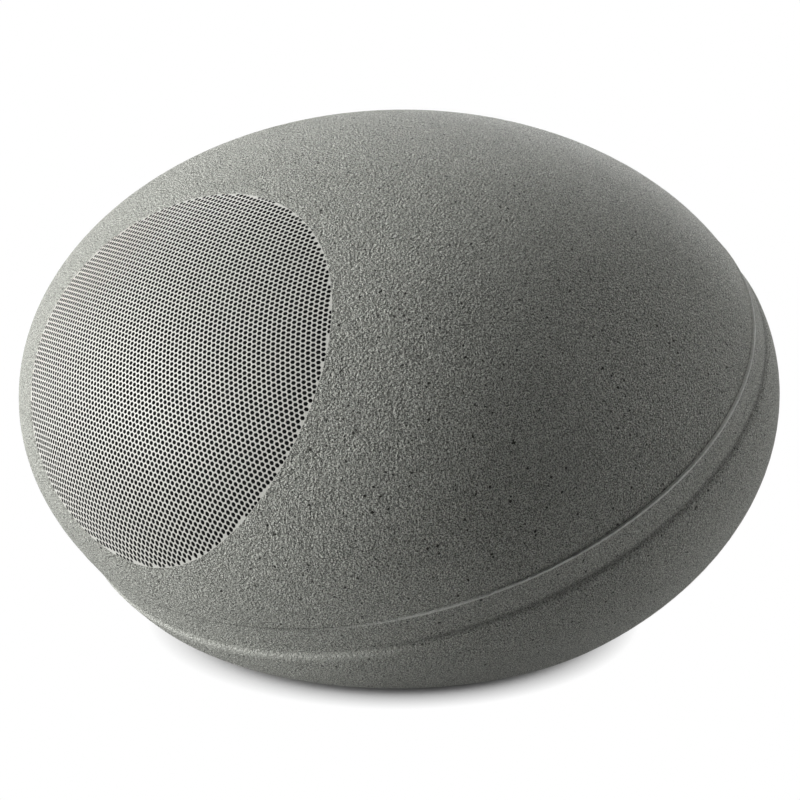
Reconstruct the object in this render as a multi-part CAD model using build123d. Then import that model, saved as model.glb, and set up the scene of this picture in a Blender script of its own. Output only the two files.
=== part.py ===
from build123d import *
import os
from math import cos, hypot, radians, sin, sqrt

# A garden loudspeaker shaped like a pebble, in millimetres.
# +Z is up and the speaker faces -Y. The origin is the middle of its footprint, on the ground.

# Upper shell: a flattened ball that leans forwards
shell_radius = 200.0
shell_half_height = 141.4
shell_lean = 2.8
shell_wall = 6.0

# Lower bowl: a second flattened ball, set back and down, and cut flat underneath
bowl_radius = 196.6
bowl_half_height = 140.0
bowl_lean = 9.0
bowl_setback = 13.4
bowl_drop = 14.1
bowl_wall = 6.0
base_radius = 116.0
base_rounding = 70.0

# Seam: a plane that rises towards the back, with a raised band of the bowl under it
seam_tilt = 25.4
seam_height = 1.8
band_height = 22.4
lip_step = 1.6
valley_depth = 1.0
shoulder_height = 3.5
seal_width = 3.0
seal_depth = 2.0

# Rubber foot ring in the flat base
foot_inset = 32.0
foot_width = 12.0
foot_depth = 2.5
foot_proud = 1.0

# Grille opening in the front of the upper shell
opening_radius = 96.6
opening_tilt = 31.7
opening_drop = 45.1
collar_wall = 5.0
seat_depth = 8.8
seat_thickness = 6.0
grille_inset = 0.4
grille_thickness = 1.5
grille_hole_radius = 6.5
grille_hole_pitch = 19.6
grille_hole_rings = 4
cloth_thickness = 1.2

# Woofer frame
cutout_radius = 84.0
flange_radius = 93.0
flange_thickness = 4.0
flange_gasket = 2.0
frame_depth = 42.0
frame_wall = 3.0
frame_windows = 6
window_width = 30.0
ledge_radius = 84.5
ledge_depth = 1.5
shelf_radius = 46.0
shelf_width = 7.0
shelf_height = 14.0
screw_circle = 88.6
screw_count = 6
screw_radius = 2.0
screw_length = 16.0
screw_head_radius = 3.6
screw_head_height = 2.6
boss_radius = 5.0

# Woofer cone and suspension
surround_radius = 78.0
roll_width = 11.0
surround_thickness = 1.0
cone_rim = 5.0
cone_wall = 1.2
neck_length = 2.5
spider_thickness = 0.8
spider_waves = 4
spider_wave_height = 2.4

# Woofer motor
coil_radius = 19.0
former_wall = 0.5
winding_thickness = 0.8
winding_height = 12.0
magnet_gap = 0.6
plate_radius = 43.0
plate_thickness = 6.0
magnet_radius = 46.0
magnet_bore = 27.0
magnet_thickness = 15.0
yoke_thickness = 7.0
pole_bore = 4.0

# Tweeter, carried on a stem on the woofer's pole
stem_radius = 9.0
stem_length = 30.0
tweeter_dome_radius = 12.3
tweeter_dome_depth = 3.5
tweeter_dome_wall = 0.5
tweeter_roll_width = 2.4
tweeter_edge_width = 1.8
tweeter_coil_radius = 10.0
tweeter_magnet_height = 4.0
tweeter_plate_height = 2.5
tweeter_cup_wall = 4.0
tweeter_cup_floor = 2.5
tweeter_face_radius = 22.0
tweeter_travel = 0.3

# Crossover board on posts moulded in the bowl
board_length = 120.0
board_width = 80.0
board_thickness = 1.6
board_setback = 16.0
post_height = 8.0
post_radius = 4.0
post_inset = 6.0
board_screw_radius = 1.5
board_screw_length = 7.0
inductor_radius = 19.0
inductor_height = 22.0
inductor_core = 8.0
bobbin_wall = 1.5
capacitor_radius = 9.0
capacitor_length = 34.0
resistor_length = 26.0
resistor_side = 9.0
terminal_length = 24.0
terminal_height = 13.0

# Inner wiring
lead_radius = 1.1
lead_spacing = 5.0
lead_bend = 16.0
lead_end = 35.0
terminal_tab_width = 26.0
terminal_tab_length = 15.0
terminal_plate_thickness = 1.6

# Cable gland in a pocket low at the back
gland_height = 36.0
pocket_radius = 17.0
pocket_depth = 6.0
pocket_wall = 4.0
gland_wall = 5.0
gland_thread_radius = 8.0
gland_washer_radius = 11.5
gland_washer_thickness = 1.5
gland_hex = 20.0
gland_hex_height = 5.0
gland_neck_length = 10.0
gland_neck_wall = 1.2
gland_nut_wall = 2.2
gland_mouth_radius = 5.0
cable_radius = 4.2
locknut_height = 5.0

# Damping pad on the inside of the upper shell
pad_radius = 60.0
pad_tilt = 30.0
pad_thickness = 15.0

# Clearances
fit_gap = 0.3
glue_gap = 0.1


def reach(radius, half_height, lean):
    """How far a leaning flattened ball reaches from its middle, along Y and along Z."""
    c = cos(radians(lean))
    s = sin(radians(lean))
    return hypot(radius * c, half_height * s), hypot(half_height * c, radius * s)


def section(radius, half_height, lean, tilt, offset):
    """The ellipse that a tilted plane cuts from a leaning flattened ball.

    Returns its middle along the plane's slope, its half length there and its half width along X.
    """
    turn = radians(tilt - lean)
    p = cos(turn) ** 2 / radius**2 + sin(turn) ** 2 / half_height**2
    q = offset * sin(turn) * cos(turn) * (1 / half_height**2 - 1 / radius**2)
    r = offset**2 * (sin(turn) ** 2 / radius**2 + cos(turn) ** 2 / half_height**2) - 1
    half = sqrt(q * q - p * r) / p
    return -q / p, half, radius * sqrt(p) * half


def shell_rise(up):
    """How far along the driver axis the upper shell's surface lies from the shell's middle."""
    turn = radians(opening_tilt + shell_lean)
    p = cos(turn) ** 2 / shell_radius**2 + sin(turn) ** 2 / shell_half_height**2
    q = up * sin(turn) * cos(turn) * (1 / shell_half_height**2 - 1 / shell_radius**2)
    r = up**2 * (sin(turn) ** 2 / shell_radius**2 + cos(turn) ** 2 / shell_half_height**2) - 1
    return (sqrt(q * q - p * r) - q) / p


# Places that follow from the sizes above
shell_reach_y = reach(shell_radius, shell_half_height, shell_lean)[0]
bowl_reach_y, bowl_reach_z = reach(bowl_radius, bowl_half_height, bowl_lean)
bowl_rise = bowl_reach_z * sqrt(1 - (base_radius / bowl_radius) ** 2)
shell_middle = Vector(
    0,
    (shell_reach_y - bowl_setback - bowl_reach_y) / 2,
    foot_proud + bowl_rise + bowl_drop,
)
bowl_middle = shell_middle + Vector(0, bowl_setback, -bowl_drop)
base_plane = Plane.XY.offset(foot_proud)
floor_plane = base_plane.offset(bowl_wall)
base_middle = section(bowl_radius, bowl_half_height, bowl_lean, 0, -bowl_rise)[0] + bowl_middle.Y

seam_normal = Vector(0, -sin(radians(seam_tilt)), cos(radians(seam_tilt)))
seam_plane = Plane(shell_middle + seam_normal * seam_height, x_dir=(1, 0, 0), z_dir=seam_normal)
valley_plane = seam_plane.offset(-band_height)
bowl_in_seam = seam_plane.to_local_coords(bowl_middle)
valley_offset = -band_height - bowl_in_seam.Z

driver_axis = Vector(0, -cos(radians(opening_tilt)), sin(radians(opening_tilt)))
driver_up = Vector(0, sin(radians(opening_tilt)), cos(radians(opening_tilt)))
rim_low = min(shell_rise(opening_radius - opening_drop), shell_rise(-opening_radius - opening_drop))
seat_rise = rim_low - seat_depth
seat_plane = Plane(
    shell_middle - driver_up * opening_drop + driver_axis * seat_rise,
    x_dir=(1, 0, 0),
    z_dir=driver_axis,
)
driver_at = seat_plane.location
dome_reach = shell_radius

# Heights along the driver axis, measured from the seat
flange_top = flange_gasket + flange_thickness
ledge_top = flange_top - ledge_depth
plate_top = flange_gasket - frame_depth
plate_bottom = plate_top - plate_thickness
magnet_bottom = plate_bottom - magnet_thickness
yoke_bottom = magnet_bottom - yoke_thickness
shelf_top = plate_top + shelf_height
former_radius = coil_radius + former_wall
neck_end = shelf_top + spider_thickness + glue_gap
neck_bottom = neck_end + neck_length
stem_top = plate_top + stem_length
cup_top = stem_top + tweeter_cup_floor + tweeter_magnet_height + tweeter_plate_height
dome_bottom = cup_top + tweeter_travel + fit_gap

# Height of the crossover board and place of the cable gland
board_bottom = foot_proud + bowl_wall + post_height
board_top = board_bottom + board_thickness
board_middle_y = base_middle + board_setback
pocket_low = gland_height - pocket_radius
pocket_chord = section(bowl_radius, bowl_half_height, bowl_lean, 0, pocket_low - bowl_middle.Z)
pocket_floor = bowl_middle.Y + pocket_chord[0] + pocket_chord[1] - pocket_depth
gland_plane = Plane((0, pocket_floor, gland_height), x_dir=(1, 0, 0), z_dir=(0, 1, 0))
gland_at = gland_plane.location


def ball(radius, half_height, lean, middle):
    """A flattened ball: half an ellipse turned about its own leaning axis, a quarter at a time."""
    arc = EllipticalCenterArc((0, 0), radius, half_height, start_angle=-90, arc_size=180)
    half = make_face([arc, Line(arc @ 1, arc @ 0)])
    quarter = revolve(Plane.XZ * half, Axis.Z, revolution_arc=90)
    whole = quarter + [Rotation(0, 0, turn) * quarter for turn in (90, 180, 270)]
    return Pos(*middle) * Rotation(lean, 0, 0) * whole


def shell_ball(inset):
    return ball(shell_radius - inset, shell_half_height - inset, shell_lean, shell_middle)


def turned(points):
    """A solid of revolution about Z from a closed outline of (radius, height) points."""
    return revolve(Plane.XZ * make_face(Polyline(*points, close=True)), Axis.Z)


def ring(outer, inner, bottom, top):
    """A plain ring about Z."""
    return extrude(Plane.XY.offset(bottom) * (Circle(outer) - Circle(inner)), top - bottom)


def rod(radius, bottom, top):
    """A plain cylinder about Z."""
    return extrude(Plane.XY.offset(bottom) * Circle(radius), top - bottom)


def nut(across_flats, bottom, top):
    """A hexagonal prism about Z."""
    hexagon = RegularPolygon(across_flats / 2, 6, major_radius=False)
    return extrude(Plane.XY.offset(bottom) * hexagon, top - bottom)


def screw_places():
    return PolarLocations(screw_circle, screw_count, start_angle=180 / screw_count)


def board_places():
    """The four corners where the board is screwed to its posts."""
    across = board_length - 2 * post_inset
    along = board_width - 2 * post_inset
    return Pos(0, board_middle_y, 0) * GridLocations(across, along, 2, 2)


# Shells
def make_upper_shell():
    outside = shell_ball(0)
    shell = split(outside - shell_ball(shell_wall), bisect_by=seam_plane, keep=Keep.TOP)
    well = rod(opening_radius + collar_wall, -seat_thickness, dome_reach)
    boss_bottom = -(screw_length - flange_top) - boss_radius
    well += [place * rod(boss_radius, boss_bottom, 0) for place in screw_places()]
    shell += split(driver_at * well & outside, bisect_by=seam_plane, keep=Keep.TOP)
    shell -= driver_at * rod(opening_radius, 0, dome_reach)
    shell -= driver_at * rod(cutout_radius, boss_bottom, 0)
    pilot = rod(screw_radius + glue_gap, flange_top - screw_length, 0)
    return shell - [driver_at * place * pilot for place in screw_places()]


def seam_ellipse(inset):
    """The upper shell's edge in the seam plane, moved inwards by a part of its wall."""
    middle, half, width = section(
        shell_radius - inset, shell_half_height - inset, shell_lean, seam_tilt, seam_height
    )
    return Pos(0, middle) * Ellipse(width, half)


def bowl_edge(inset, drop):
    """The bowl's outline in a plane parallel to the seam, at a drop below the valley."""
    middle, half, width = section(
        bowl_radius - inset, bowl_half_height - inset, bowl_lean, seam_tilt, valley_offset - drop
    )
    outline = Pos(0, bowl_in_seam.Y + middle) * Ellipse(width, half)
    return (valley_plane.offset(-drop) * outline).face()


def lip_ellipse():
    """The band's top edge, which stands proud of the shell at both sides."""
    middle, half, width = section(
        shell_radius, shell_half_height, shell_lean, seam_tilt, seam_height
    )
    return Pos(0, middle) * Ellipse(width + lip_step, half)


def seal_groove(gap):
    """The cord's ring in the middle of the shell's edge, under the seam plane."""
    edge = (shell_wall - seal_width) / 2 + gap
    flat = seam_ellipse(edge) - seam_ellipse(shell_wall - edge)
    return extrude(seam_plane * flat, -seal_depth)


def foot_groove(gap, bottom):
    outer = base_radius - foot_inset - gap
    inner = base_radius - foot_inset - foot_width + gap
    return Pos(0, base_middle, 0) * ring(outer, inner, bottom, foot_proud + foot_depth)


def make_lower_shell():
    outside = ball(bowl_radius, bowl_half_height, bowl_lean, bowl_middle)
    outside = split(outside, bisect_by=valley_plane.offset(-shoulder_height), keep=Keep.BOTTOM)
    outside = split(outside, bisect_by=base_plane, keep=Keep.TOP)
    outside = fillet(outside.edges().sort_by(Axis.Z)[0], base_rounding)
    valley = bowl_edge(valley_depth, 0)
    shell = outside + loft([bowl_edge(0, shoulder_height), valley], ruled=True)
    shell += loft([valley, (seam_plane * lip_ellipse()).face()], ruled=True)
    inside = ball(bowl_radius - bowl_wall, bowl_half_height - bowl_wall, bowl_lean, bowl_middle)
    inside = split(inside, bisect_by=valley_plane, keep=Keep.BOTTOM)
    inside = split(inside, bisect_by=floor_plane, keep=Keep.TOP)
    shell -= inside
    neck = (seam_plane * seam_ellipse(shell_wall)).face()
    shell -= loft([bowl_edge(bowl_wall, 0), neck], ruled=True)
    shell -= seal_groove(0)
    shell -= foot_groove(0, 0)
    for place in board_places():
        shell += place * rod(post_radius, foot_proud + bowl_wall, board_bottom)
    pilot_bottom = board_top - board_screw_length - fit_gap
    for place in board_places():
        shell -= place * rod(board_screw_radius + glue_gap, pilot_bottom, board_bottom)
    boss = gland_at * rod(pocket_radius + pocket_wall, -gland_wall, bowl_reach_y) & outside
    shell += boss
    shell -= gland_at * rod(pocket_radius, 0, bowl_reach_y)
    shell -= gland_at * rod(gland_thread_radius + fit_gap, -gland_wall, 0)
    return shell


# Grille
def make_grille():
    outer = opening_radius - fit_gap
    dome = shell_ball(grille_inset) & driver_at * rod(outer, 0, dome_reach)
    hollow = shell_ball(grille_inset + grille_thickness)
    hollow &= driver_at * rod(outer - grille_thickness, 0, dome_reach)
    dome -= hollow
    hole = rod(grille_hole_radius, 0, dome_reach)
    return dome - [driver_at * place * hole for place in grille_hole_places()]


def grille_hole_places():
    """Holes in hexagonal rings round the middle."""
    places = [Pos(0, 0, 0)]
    for count in range(1, grille_hole_rings + 1):
        for corner in range(6):
            turn = Rotation(0, 0, 60 * corner)
            for step in range(count):
                across = grille_hole_pitch * (count - step / 2)
                along = grille_hole_pitch * step * sqrt(3) / 2
                places.append(turn * Pos(across, along, 0))
    return places


def make_grille_cloth():
    inset = grille_inset + grille_thickness + fit_gap
    layer = shell_ball(inset) - shell_ball(inset + cloth_thickness)
    edge = opening_radius - grille_thickness - 2 * fit_gap
    return layer & driver_at * rod(edge, 0, dome_reach)


# Woofer frame, built on the seat with the driver axis as Z
def make_driver_gasket():
    pad = ring(flange_radius, cutout_radius + glue_gap, 0, flange_gasket)
    for place in screw_places():
        pad -= place * rod(screw_radius + glue_gap, 0, flange_gasket)
    return pad


def make_driver_frame():
    wall_top = cutout_radius - fit_gap
    wall_bottom = shelf_radius + shelf_width + frame_wall
    neck_radius = shelf_radius + frame_wall
    frame = turned(
        [
            (flange_radius, flange_gasket),
            (flange_radius, flange_top),
            (ledge_radius, flange_top),
            (ledge_radius, ledge_top),
            (surround_radius, ledge_top),
            (surround_radius, flange_gasket),
            (shelf_radius + shelf_width, shelf_top),
            (shelf_radius, shelf_top),
            (shelf_radius, plate_top + frame_wall),
            (magnet_bore, plate_top + frame_wall),
            (magnet_bore, plate_top),
            (neck_radius, plate_top),
            (neck_radius, shelf_top - frame_wall),
            (wall_bottom, shelf_top - frame_wall),
            (wall_top, flange_gasket - frame_wall),
            (wall_top, flange_gasket),
        ]
    )
    window_low = shelf_top + frame_wall
    window_high = flange_gasket - 2 * frame_wall
    narrow = window_width * wall_bottom / wall_top
    outline = Polyline(
        (-narrow, window_low),
        (narrow, window_low),
        (window_width, window_high),
        (-window_width, window_high),
        close=True,
    )
    window = extrude(Plane.XZ * make_face(outline), -flange_radius)
    for place in PolarLocations(0, frame_windows):
        frame -= place * window
    tab_start = magnet_bore + frame_wall
    tab_end = neck_radius + terminal_tab_length
    tab = Pos(0, -(tab_start + tab_end) / 2, plate_top + frame_wall / 2)
    frame += tab * Box(terminal_tab_width, tab_end - tab_start, frame_wall)
    for place in screw_places():
        frame -= place * rod(screw_radius + fit_gap, flange_gasket, flange_top)
    return frame


def make_driver_screws():
    screw = rod(screw_head_radius, flange_top, flange_top + screw_head_height)
    screw += rod(screw_radius, flange_top - screw_length, flange_top)
    return Compound(children=[place * screw for place in screw_places()])


# Woofer cone and suspension
def make_surround():
    roll_radius = roll_width / 2
    middle = surround_radius - roll_radius
    half = surround_thickness / 2
    roll = Circle(roll_radius + half) - Circle(roll_radius - half)
    roll &= Pos(0, surround_radius / 2) * Rectangle(surround_radius, surround_radius)
    profile = Pos(middle, ledge_top) * roll
    outer_edge = ledge_radius - fit_gap
    inner_edge = surround_radius - roll_width - cone_rim
    outer_width = outer_edge - surround_radius + half
    inner_width = cone_rim + half
    outer = Rectangle(outer_width, surround_thickness, align=(Align.MAX, Align.MIN))
    inner = Rectangle(inner_width, surround_thickness, align=(Align.MIN, Align.MIN))
    profile += Pos(outer_edge, ledge_top) * outer
    profile += Pos(inner_edge, ledge_top) * inner
    return revolve(Plane.XZ * profile, Axis.Z)


def make_cone():
    edge = surround_radius - roll_width
    inner = edge - cone_rim
    neck = former_radius + glue_gap
    return turned(
        [
            (edge, ledge_top),
            (inner, ledge_top),
            (neck, neck_bottom + cone_wall),
            (neck, neck_end),
            (neck + cone_wall, neck_end),
            (neck + cone_wall, neck_bottom),
            (inner + cone_wall, ledge_top - cone_wall),
            (edge, ledge_top - cone_wall),
        ]
    )


def make_spider():
    """A waved disc between the former and the frame's shelf."""
    inner = former_radius + glue_gap
    outer = shelf_radius + shelf_width - fit_gap
    step = (shelf_radius - inner) / (2 * spider_waves)
    upper = [(inner, shelf_top + spider_thickness)]
    for index in range(1, 2 * spider_waves):
        dip = spider_wave_height if index % 2 else 0
        upper.append((inner + index * step, shelf_top + spider_thickness - dip))
    upper.append((shelf_radius, shelf_top + spider_thickness))
    upper.append((outer, shelf_top + spider_thickness))
    lower = [(radius, height - spider_thickness) for radius, height in reversed(upper)]
    return turned(upper + lower)


def winding_bottom():
    return plate_top - plate_thickness / 2 - winding_height / 2


def make_voice_coil_former():
    return ring(former_radius, coil_radius, winding_bottom(), neck_bottom + cone_wall)


def make_voice_coil():
    inner = former_radius + glue_gap
    bottom = winding_bottom()
    return ring(inner + winding_thickness, inner, bottom, bottom + winding_height)


# Woofer motor
def make_top_plate():
    bore = former_radius + glue_gap + winding_thickness + magnet_gap
    return ring(plate_radius, bore, plate_bottom, plate_top)


def make_magnet():
    return ring(magnet_radius, magnet_bore, magnet_bottom, plate_bottom)


def make_yoke():
    yoke = rod(plate_radius, yoke_bottom, magnet_bottom)
    yoke += rod(coil_radius - magnet_gap, magnet_bottom, plate_top)
    return yoke - rod(pole_bore, yoke_bottom, plate_top)


# Tweeter
def make_tweeter_stem():
    return ring(stem_radius, pole_bore, plate_top, stem_top)


def tweeter_coil_outer():
    return tweeter_coil_radius + 2 * former_wall


def make_tweeter_cup():
    inner = tweeter_coil_outer() + magnet_gap
    cup = rod(inner + tweeter_cup_wall, stem_top, cup_top)
    return cup - rod(inner, stem_top + tweeter_cup_floor, cup_top)


def make_tweeter_magnet():
    bottom = stem_top + tweeter_cup_floor
    return rod(tweeter_coil_radius - 2 * magnet_gap, bottom, bottom + tweeter_magnet_height)


def make_tweeter_pole_plate():
    return rod(tweeter_coil_radius - magnet_gap, cup_top - tweeter_plate_height, cup_top)


def dome_height(radius):
    """Height of the hollow dome's upper face at a radius."""
    bend = (tweeter_dome_radius**2 + tweeter_dome_depth**2) / (2 * tweeter_dome_depth)
    return dome_bottom + tweeter_dome_wall + bend - sqrt(bend**2 - radius**2)


def make_tweeter_dome():
    middle = tweeter_dome_radius / 2
    edge = tweeter_dome_radius
    upper = ThreePointArc(
        (0, dome_height(0)), (middle, dome_height(middle)), (edge, dome_height(edge))
    )
    lower = Pos(0, -tweeter_dome_wall) * upper
    outline = [upper, Line(upper @ 1, lower @ 1), lower, Line(lower @ 0, upper @ 0)]
    return revolve(Plane.XZ * make_face(outline), Axis.Z)


def make_tweeter_coil():
    """Former and winding under the dome, in the gap between cup and pole plate."""
    outer = tweeter_coil_outer()
    bottom = cup_top - tweeter_plate_height
    top = dome_height(tweeter_coil_radius) - tweeter_dome_wall - glue_gap
    winding = ring(outer, tweeter_coil_radius, bottom, cup_top)
    return winding + ring(outer - former_wall, tweeter_coil_radius, bottom, top)


def surround_seat():
    """Height of the tweeter surround's underside, level with the dome's edge."""
    return dome_height(tweeter_dome_radius) - tweeter_dome_wall


def tweeter_roll_outer():
    return tweeter_dome_radius + glue_gap + tweeter_roll_width + tweeter_dome_wall


def make_tweeter_surround():
    half = tweeter_dome_wall / 2
    roll_radius = tweeter_roll_width / 2
    roll = Circle(roll_radius + half) - Circle(roll_radius - half)
    roll &= Pos(0, tweeter_face_radius / 2) * Rectangle(tweeter_face_radius, tweeter_face_radius)
    profile = Pos(tweeter_roll_outer() - half - roll_radius, surround_seat()) * roll
    edge = Rectangle(tweeter_edge_width, tweeter_dome_wall, align=(Align.MIN, Align.MIN))
    profile += Pos(tweeter_roll_outer() - half, surround_seat()) * edge
    return revolve(Plane.XZ * profile, Axis.Z)


def make_tweeter_face():
    """Front ring with a flared mouth, on the cup."""
    bore = tweeter_coil_outer() + magnet_gap
    recess = tweeter_roll_outer() + tweeter_edge_width
    face_top = surround_seat() + tweeter_roll_width
    return turned(
        [
            (bore, cup_top),
            (tweeter_face_radius, cup_top),
            (tweeter_face_radius, face_top),
            (recess + tweeter_roll_width, face_top),
            (recess, surround_seat() + tweeter_dome_wall),
            (recess, surround_seat()),
            (tweeter_roll_outer(), surround_seat()),
            (bore, cup_top + tweeter_dome_wall),
        ]
    )


# Crossover
def make_crossover_board():
    board = Box(board_length, board_width, board_thickness, align=(Align.CENTER, Align.CENTER, Align.MIN))
    board = Pos(0, board_middle_y, board_bottom) * board
    for place in board_places():
        board -= place * rod(board_screw_radius + fit_gap, board_bottom, board_top)
    return board


def make_board_screws():
    screw = rod(board_screw_radius, board_top - board_screw_length, board_top)
    screw += rod(2 * board_screw_radius, board_top, board_top + board_screw_radius)
    return Compound(children=[place * screw for place in board_places()])


def on_board(across, along):
    """A place on the board's top face, from its middle."""
    return Pos(across, board_middle_y + along, board_top)


def inductor_places():
    """The woofer's coil and the tweeter's coil stand side by side at one end of the board."""
    across = post_inset + inductor_radius - board_length / 2
    along = inductor_radius + 2 * fit_gap
    return [on_board(across, -along), on_board(across, along)]


def make_inductor_bobbins():
    spool = ring(inductor_radius, inductor_core - bobbin_wall, 0, bobbin_wall)
    spool += ring(inductor_core, inductor_core - bobbin_wall, 0, inductor_height)
    top = inductor_height - bobbin_wall
    spool += ring(inductor_radius, inductor_core - bobbin_wall, top, inductor_height)
    return Compound(children=[place * spool for place in inductor_places()])


def make_inductor_windings():
    bottom = bobbin_wall + glue_gap
    coil = ring(
        inductor_radius - bobbin_wall,
        inductor_core + glue_gap,
        bottom,
        inductor_height - bobbin_wall - glue_gap,
    )
    return Compound(children=[place * coil for place in inductor_places()])


def make_capacitors():
    """Two film capacitors lying side by side."""
    can = Rotation(0, 90, 0) * Cylinder(capacitor_radius, capacitor_length)
    edge = board_length / 2 - post_inset - capacitor_length / 2
    pitch = 2 * capacitor_radius + 2 * fit_gap
    cans = []
    for index in range(2):
        along = pitch * (index - 0.5)
        cans.append(on_board(edge, along) * Pos(0, 0, capacitor_radius) * can)
    return Compound(children=cans)


def make_resistor():
    block = Box(resistor_length, resistor_side, resistor_side, align=(Align.CENTER, Align.MIN, Align.MIN))
    return on_board(0, board_width / 4) * block


def make_terminal_block():
    """Screw terminals for the supply cable, with two wire mouths at the back."""
    depth = terminal_height
    block = Box(terminal_length, depth, terminal_height, align=(Align.CENTER, Align.MAX, Align.MIN))
    block = fillet(block.edges().group_by(Axis.Z)[-1], bobbin_wall)
    edge = board_length / 2 - 3 * post_inset - terminal_length / 2
    for side in (-1, 1):
        mouth = Pos(side * terminal_length / 4, 0, terminal_height / 3)
        block -= mouth * Rotation(90, 0, 0) * rod(2 * lead_radius, -depth, depth / 2)
        block -= Pos(side * terminal_length / 4, -depth / 2, 0) * rod(
            2 * lead_radius, terminal_height * 2 / 3, terminal_height
        )
    return on_board(edge, board_width / 2) * block


# Wiring
def make_driver_terminals():
    """Two lugs on a fibre plate, on the frame's tab."""
    width = terminal_tab_width - 2 * frame_wall
    length = terminal_tab_length - frame_wall
    middle = -(shelf_radius + 2 * frame_wall + length / 2)
    bottom = plate_top + frame_wall
    flat = (Align.CENTER, Align.CENTER, Align.MIN)
    plate = Pos(0, middle, bottom) * Box(width, length, terminal_plate_thickness, align=flat)
    for side in (-1, 1):
        lug = Box(lead_spacing, length, terminal_plate_thickness, align=flat)
        plate += Pos(side * lead_spacing, middle, bottom + terminal_plate_thickness) * lug
    return plate


def lead(points):
    """A wire along straight runs joined by arcs."""
    path = FilletPolyline(*points, radius=lead_bend)
    start = Plane(origin=path @ 0, z_dir=path % 0)
    return sweep(start * Circle(lead_radius), path=path)


def make_woofer_leads():
    """Two wires from the board up to the driver's lugs."""
    lug_middle = -(shelf_radius + 2 * frame_wall + (terminal_tab_length - frame_wall) / 2)
    lug_top = plate_top + frame_wall + 2 * terminal_plate_thickness
    wire_height = lug_top + lead_radius + glue_gap
    start_y = board_middle_y + lead_bend - board_width / 2
    wires = []
    for side in (-1, 1):
        across = side * lead_spacing
        route = [
            Vector(across, start_y, board_top),
            Vector(across, start_y, board_top + 2 * lead_bend),
            seat_plane.from_local_coords(Vector(across, lug_middle - lead_end, wire_height)),
            seat_plane.from_local_coords(Vector(across, lug_middle, wire_height)),
        ]
        wires.append(lead(route))
    return Compound(children=wires)


def make_tweeter_leads():
    """Two wires from the board, through the bored pole and stem, to the tweeter's cup."""
    start_y = board_middle_y + lead_bend
    back = seat_plane.from_local_coords(Vector(0, 0, yoke_bottom))
    corner_z = back.Z - (start_y - back.Y) * driver_axis.Z / -driver_axis.Y
    wires = []
    for side in (-1, 1):
        across = side * (lead_radius + fit_gap)
        route = [
            Vector(across, start_y, board_top),
            Vector(across, start_y, corner_z),
            seat_plane.from_local_coords(Vector(across, 0, stem_top - glue_gap)),
        ]
        wires.append(lead(route))
    return Compound(children=wires)


# Cable gland, built on the pocket's floor with the way out as Z
def hex_top():
    return gland_washer_thickness + gland_hex_height


def neck_top():
    return hex_top() + gland_neck_length


def neck_bore():
    return gland_thread_radius - gland_neck_wall


def make_gland_washer():
    return ring(gland_washer_radius, gland_thread_radius + glue_gap, 0, gland_washer_thickness)


def make_gland_body():
    thread_end = -(gland_wall + locknut_height + gland_neck_wall)
    body = nut(gland_hex, gland_washer_thickness, hex_top())
    body += rod(gland_thread_radius, thread_end, neck_top())
    body -= rod(gland_mouth_radius, thread_end, hex_top())
    return body - rod(neck_bore(), hex_top(), neck_top())


def make_gland_seal():
    return ring(neck_bore() - glue_gap, cable_radius, hex_top(), neck_top())


def make_gland_nut():
    """Domed cap nut that presses the seal, with a hexagon at its foot."""
    bottom = hex_top() + fit_gap
    top = neck_top() + gland_nut_wall
    cap = rod(gland_thread_radius + gland_nut_wall, bottom, top)
    cap = fillet(cap.edges().sort_by(Axis.Z)[-1], gland_nut_wall)
    cap += nut(gland_hex, bottom, bottom + gland_hex_height)
    cap -= rod(gland_thread_radius + glue_gap, bottom, neck_top())
    return cap - rod(gland_mouth_radius, bottom, top)


def make_gland_locknut():
    top = -gland_wall
    locknut = nut(gland_hex, top - locknut_height, top)
    return locknut - rod(gland_thread_radius + glue_gap, top - locknut_height, top)


# Damping
def make_damping_pad():
    """A round patch of fibre on the inner wall, behind and above the driver."""
    inset = shell_wall + glue_gap
    layer = shell_ball(inset) - shell_ball(inset + pad_thickness)
    out = Vector(0, sin(radians(pad_tilt)), cos(radians(pad_tilt)))
    patch = Plane(shell_middle, x_dir=(1, 0, 0), z_dir=out).location
    return layer & patch * rod(pad_radius, 0, shell_radius)


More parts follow.
